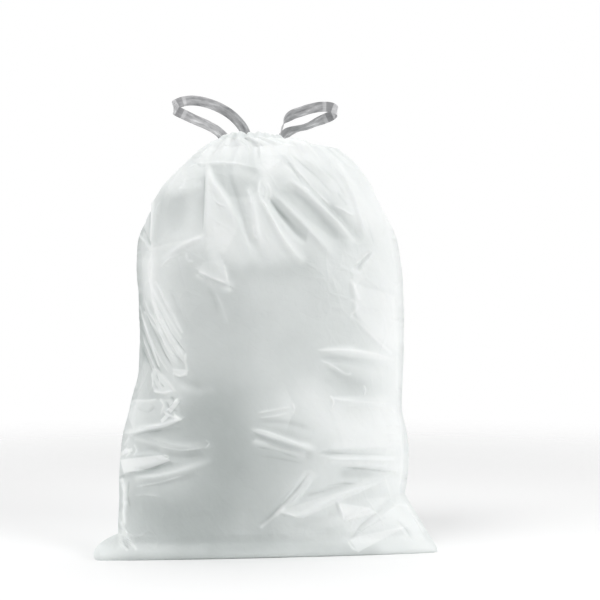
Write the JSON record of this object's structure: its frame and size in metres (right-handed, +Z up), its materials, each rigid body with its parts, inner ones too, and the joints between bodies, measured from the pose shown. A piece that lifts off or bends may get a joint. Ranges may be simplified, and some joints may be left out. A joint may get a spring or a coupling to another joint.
{
  "type": "filled drawstring bin bag",
  "caption": "White film refuse bag, filled and standing on its bottom, drawn shut at the mouth by flat grey drawtapes that are pulled out as loops.",
  "frame": {"origin": "middle of the bounding box at floor level", "axes": "+Z up from the floor to the mouth, +X from the left side seal to the right one as seen from the front, -Y to the front"},
  "size_m": [0.4243, 0.2135, 0.586],
  "materials": {
    "film": "semi-gloss blown film, slightly see-through",
    "drawtape": "semi-gloss flat tape"
  },
  "bodies": {
    "root": {"bag": "film", "front_drawtape": "drawtape", "back_drawtape": "drawtape"}
  },
  "joints": []
}
